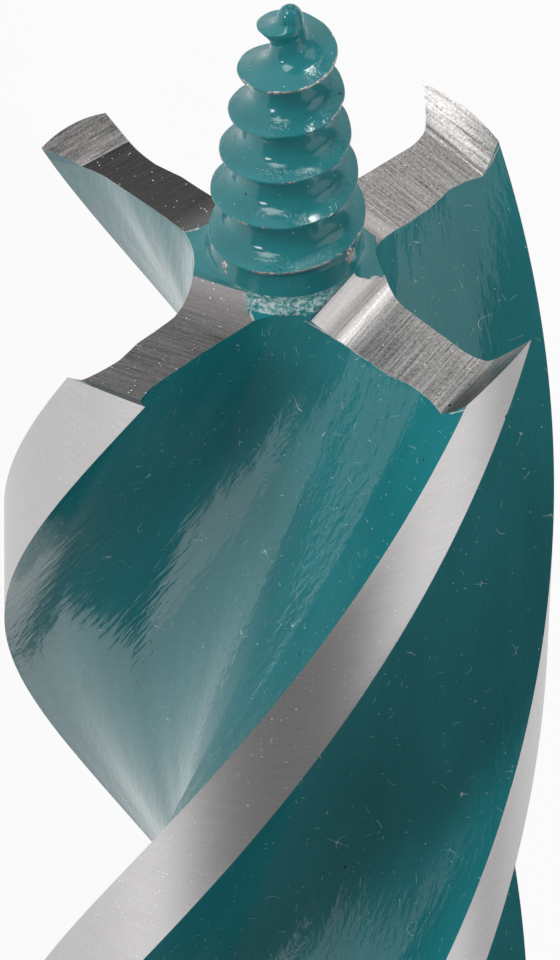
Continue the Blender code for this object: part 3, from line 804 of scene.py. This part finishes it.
# %% Sizes and colours of ground steel
# Light and dark colour, roughness, spacing of the lines in millimetres, and their depth in metres.
STEELS = (
    (land_steel, "#CECCCC", "#BFBDBD", 0.34, 0.05, 0.000001),
    (flank_steel, "#CFCCCA", "#565452", 0.36, 0.05, 0.000005),
    (hex_steel, "#C0BEBC", "#A09D9A", 0.3, 0.1, 0.000003),
)
LINE_LENGTH_SCALE, LINE_WIDTH_SCALE = 0.35, 0.6
CRYSTALS_PER_MM, CRYSTAL_SHARE = 12, 0.35
CONTRAST_LOW, CONTRAST_HIGH = 0.33, 0.67
# The near-white colour of the torn spots is a painted glint.
PAINTED_GLINT_COLOUR, TORN_DEPTHS, DIRT_COLOUR = "#EAE8E6", 5, "#2B2927"
# Painted highlight: the fillets at the hub are made paler. Painted shade: the flats of two wings are made
# darker.
PAINTED_SHEEN_COLOUR, PAINTED_SHEEN_SHARE = "#EAE7E6", 0.7
PAINTED_SHADE_COLOUR, SHADED_FLANKS = "#1E1D1C", ((2, 0.9), (3, 0.62))
FLAT_REACH = CUT_RADIUS - SPUR_WIDTH
BRUSHED = 0.6


# %% The tint of the flanks: painted highlight and painted shade
def tint_flanks(tree, uv, colour):
    """Painted highlight on the fillets at the hub, and painted shade on the flats of two wings."""
    across = add(tree, "ShaderNodeSeparateXYZ", None, {0: uv})["Y"]
    along_wing = add(tree, "ShaderNodeMath", {"operation": "MODULO"}, {0: across, 1: SHEET})[0]
    # Painted highlight: the colour goes towards near-white nearer the hub wall.
    fillet_sheen = add(tree, "ShaderNodeMapRange", None, {
        "Value": along_wing, "From Min": HUB_FILLET_FOOT, "From Max": HUB_WALL, "To Max": PAINTED_SHEEN_SHARE})[0]
    colour = add(tree, "ShaderNodeMix", {"data_type": "RGBA"}, {
        "Factor": fillet_sheen, 6: colour, 7: linear(PAINTED_SHEEN_COLOUR)})[2]
    # Painted shade on the flats of two wings.
    for wing, darkness in SHADED_FLANKS:
        on_wing = add(tree, "ShaderNodeMath", {"operation": "COMPARE"}, {
            0: across, 1: wing * SHEET + FLAT_REACH / 2, 2: FLAT_REACH / 2})[0]
        painted_shade = add(tree, "ShaderNodeMath", {"operation": "MULTIPLY"}, {0: on_wing, 1: darkness})[0]
        colour = add(tree, "ShaderNodeMix", {"data_type": "RGBA"}, {
            "Factor": painted_shade, 6: colour, 7: linear(PAINTED_SHADE_COLOUR)})[2]
    return colour


# %% Ground steel on the lands, the flanks and the hexagonal end
for finish, pale_colour, dark_colour, roughness, line_spacing, depth in STEELS:
    tree, shader, upright = start_finish(finish)
    uv = add(tree, "ShaderNodeUVMap", {"uv_map": "grain"})[0]
    lines = add(tree, "ShaderNodeMapping", None, {
        "Vector": uv, "Scale": (LINE_LENGTH_SCALE, LINE_WIDTH_SCALE / line_spacing, 1)})[0]
    ground = add(tree, "ShaderNodeTexNoise", None, {
        "Vector": lines, "Scale": 1.0, "Detail": 4, "Roughness": 0.65})[0]
    crystals = add(tree, "ShaderNodeTexNoise", None, {
        "Vector": upright, "Scale": CRYSTALS_PER_MM, "Detail": 2})[0]
    ground = add(tree, "ShaderNodeMix", {"data_type": "FLOAT"}, {
        "Factor": CRYSTAL_SHARE, 2: ground, 3: crystals})[0]
    bump = add(tree, "ShaderNodeBump", None, {"Height": ground, "Distance": depth})[0]
    contrast = add(tree, "ShaderNodeMapRange", None, {
        "Value": ground, "From Min": CONTRAST_LOW, "From Max": CONTRAST_HIGH})[0]
    colour = add(tree, "ShaderNodeMix", {"data_type": "RGBA"}, {
        "Factor": contrast, 6: linear(dark_colour), 7: linear(pale_colour)})[2]
    if finish == flank_steel:
        colour = tint_flanks(tree, uv, colour)
    # Torn spots: a real bump, with a painted glint as their colour.
    torn_spots_and_glints = specks(tree, upright, 0.15, 0.3, 0.036)
    bump = add(tree, "ShaderNodeBump", None, {
        "Height": torn_spots_and_glints, "Distance": depth * TORN_DEPTHS, "Normal": bump})[0]
    dirt = specks(tree, upright, 0.7, 0.16, 0.09)
    for mask, over in ((torn_spots_and_glints, linear(PAINTED_GLINT_COLOUR)), (dirt, linear(DIRT_COLOUR))):
        colour = add(tree, "ShaderNodeMix", {"data_type": "RGBA"}, {"Factor": mask, 6: colour, 7: over})[2]
    tangent = add(tree, "ShaderNodeTangent", {"direction_type": "UV_MAP", "uv_map": "grain"})[0]
    shader.inputs["Metallic"].default_value = 1
    shader.inputs["Roughness"].default_value = roughness
    shader.inputs["Anisotropic"].default_value = BRUSHED
    tree.links.new(colour, shader.inputs["Base Color"])
    tree.links.new(bump, shader.inputs["Normal"])
    tree.links.new(tangent, shader.inputs["Tangent"])
    print(finish.name, "has", len(tree.nodes), "nodes")

# %% [markdown]
# ## The camera
# The photograph looks at the tip from the side and from above, through a long lens. The view is worked
# out round the upright bit, as an elevation above the wings, a turn round the axis and a small roll. It
# is then laid down with the bit, so it looks down on the floor. The lens is chosen so that a millimetre
# covers as many pixels as it should.

# %% Camera
ELEVATION, ROLL = radians(41.94), radians(1.29)
TURN = radians(28.67)
DISTANCE = 645
IMAGE_HEIGHT, IMAGE_WIDTH = 960, 560
PIXELS_PER_MM = 28.15
# The pixel where the bit's axis meets z = 0.
AXIS_AT = (285.0, 243.5)
SENSOR = 36
CLIP_END = 10

view_turn = Matrix.Rotation(TURN, 3, "Z")
towards_camera = Vector((0, -cos(ELEVATION), sin(ELEVATION)))
image_up = Vector((0, sin(ELEVATION), cos(ELEVATION)))
image_right = Vector((1, 0, 0))
right = view_turn @ (image_right * cos(ROLL) + image_up * sin(ROLL))
up = view_turn @ (image_up * cos(ROLL) - image_right * sin(ROLL))
middle = (right * (IMAGE_WIDTH / 2 - AXIS_AT[0]) - up * (IMAGE_HEIGHT / 2 - AXIS_AT[1])) / PIXELS_PER_MM
position = view_turn @ towards_camera * DISTANCE
aim = (position - middle).normalized()
right = up.cross(aim).normalized()
up = aim.cross(right)
bpy.ops.object.camera_add()
camera = bpy.context.object
upright_place = Matrix((right, up, aim)).transposed().to_4x4()
upright_place.translation = position * MM
camera.matrix_world = lay_down @ upright_place
camera.data.sensor_fit = "VERTICAL"
camera.data.sensor_height = SENSOR
camera.data.lens = SENSOR * DISTANCE * PIXELS_PER_MM / IMAGE_HEIGHT
camera.data.clip_end = CLIP_END
scene.camera = camera
print("Camera at", [round(value, 3) for value in camera.location])

# %% [markdown]
# ## The floor
# The photograph's background is white. Lamps strong enough to whiten a floor would bleach the bit, so the
# floor shows plain white to the camera and in the bit's gloss, and keeps a small share of its own shading
# for the shadow.

# %% Floor
FLOOR_SIZE, FLOOR_COLOUR, FLOOR_ROUGHNESS = 4, "#F4F4F4", 0.9
WHITE_SHARE = 0.94

bpy.ops.mesh.primitive_plane_add(size=FLOOR_SIZE)
floor = bpy.context.object
floor.name = "floor"
sheet = bpy.data.materials.new("white_sheet")
sheet.use_nodes = True
tree = sheet.node_tree
shader = tree.nodes["Principled BSDF"]
shader.inputs["Base Color"].default_value = linear(FLOOR_COLOUR)
shader.inputs["Roughness"].default_value = FLOOR_ROUGHNESS
rays = add(tree, "ShaderNodeLightPath")
seen = add(tree, "ShaderNodeMath", {"operation": "ADD", "use_clamp": True}, {
    0: rays["Is Camera Ray"], 1: rays["Is Glossy Ray"]})[0]
share = add(tree, "ShaderNodeMath", {"operation": "MULTIPLY"}, {0: seen, 1: WHITE_SHARE})[0]
white = add(tree, "ShaderNodeEmission", None, {"Color": (1, 1, 1, 1), "Strength": 1.0})[0]
mixed = add(tree, "ShaderNodeMixShader", None, {0: share, 1: shader.outputs[0], 2: white})[0]
tree.links.new(mixed, tree.nodes["Material Output"].inputs["Surface"])
floor.data.materials.append(sheet)
print("Floor", round(floor.dimensions.x, 2), "m wide")

# %% [markdown]
# ## The lamps
# A studio's soft boxes are all the light there is, with a dim grey room round them. Small bright ones
# give the crisp glints on the screw and on the spur at the upper right. Broad dim ones are seen as pale
# bands in the flutes, and light the lands. Each is placed by its direction in the upright view, and laid
# down with the bit.

# %% Lamps
ROOM = 0.19
LAMP_DISTANCE = 0.6

world = bpy.data.worlds.new("studio")
scene.world = world
world.use_nodes = True
world.node_tree.nodes["Background"].inputs["Color"].default_value = (ROOM, ROOM, ROOM, 1)


def softbox(name, azimuth, elevation, size, brightness):
    """A square lamp that faces the bit. Azimuth 0 is to the camera's right, 90 degrees behind the bit."""
    bpy.ops.object.light_add(type="AREA")
    lamp = bpy.context.object
    lamp.name = name
    lamp.data.size = size
    lamp.data.energy = brightness * pi * size**2
    azimuth, elevation = radians(azimuth), radians(elevation)
    direction = Vector((cos(elevation) * cos(azimuth), cos(elevation) * sin(azimuth), sin(elevation)))
    direction = lay_down.to_3x3() @ (view_turn @ direction)
    lamp.location = foot + direction * LAMP_DISTANCE
    lamp.rotation_euler = direction.to_track_quat("Z", "Y").to_euler()


softbox("lamp_left", -142, 19, 0.11, 16)
softbox("lamp_left_high", -144, 51, 0.24, 6)
softbox("lamp_tip", -20, 84, 0.06, 36)
softbox("panel_left", -177, -33, 0.34, 1.8)
softbox("panel_left_low", -152, -52, 0.4, 1.3)
softbox("panel_right", -20, -46, 0.32, 1.2)
softbox("panel_right_wide", -22, -3, 0.5, 0.8)
softbox("panel_right_high", -14, 46, 0.34, 1.3)
scene.view_settings.view_transform = "Standard"
